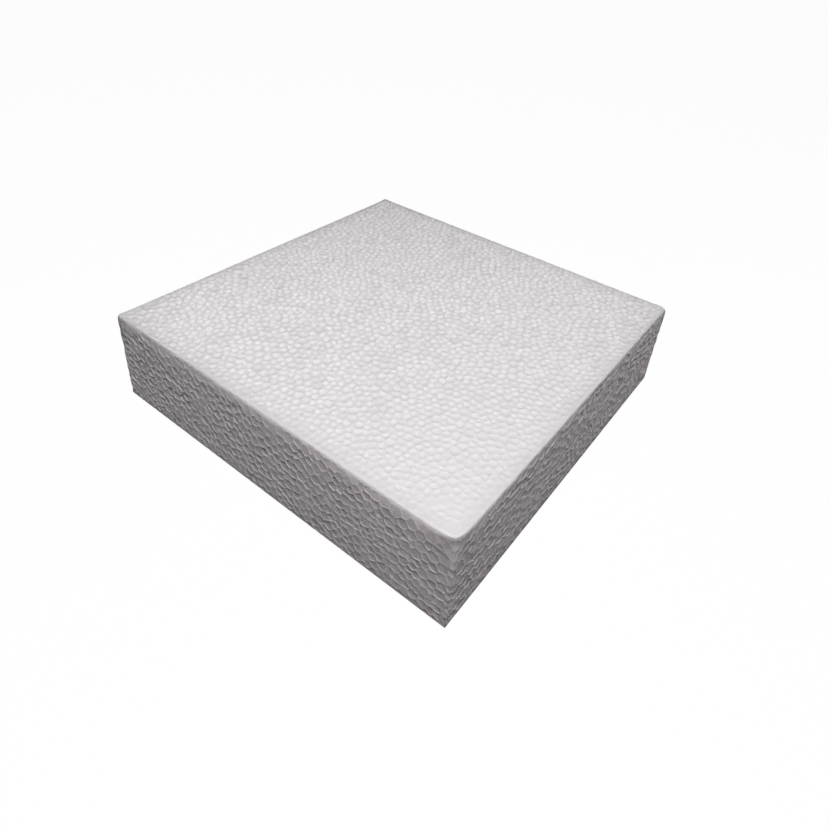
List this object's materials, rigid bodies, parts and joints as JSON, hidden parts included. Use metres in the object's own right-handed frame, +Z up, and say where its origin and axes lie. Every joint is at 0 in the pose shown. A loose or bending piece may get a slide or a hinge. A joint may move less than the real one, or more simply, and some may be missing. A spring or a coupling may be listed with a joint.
{
  "type": "foam block",
  "caption": "Square slab of rigid white bead foam with plain cut faces, for packing, padding, supporting or shaping.",
  "frame": {"origin": "middle of the flat base", "axes": "+Z up out of the top face, +X to the block's right side, -Y to its front side"},
  "size_m": [0.2, 0.2, 0.048],
  "materials": {
    "foam": "matt white bead foam, cut faces with shallow dished beads"
  },
  "bodies": {
    "root": {"foam_block": "foam"}
  },
  "joints": []
}
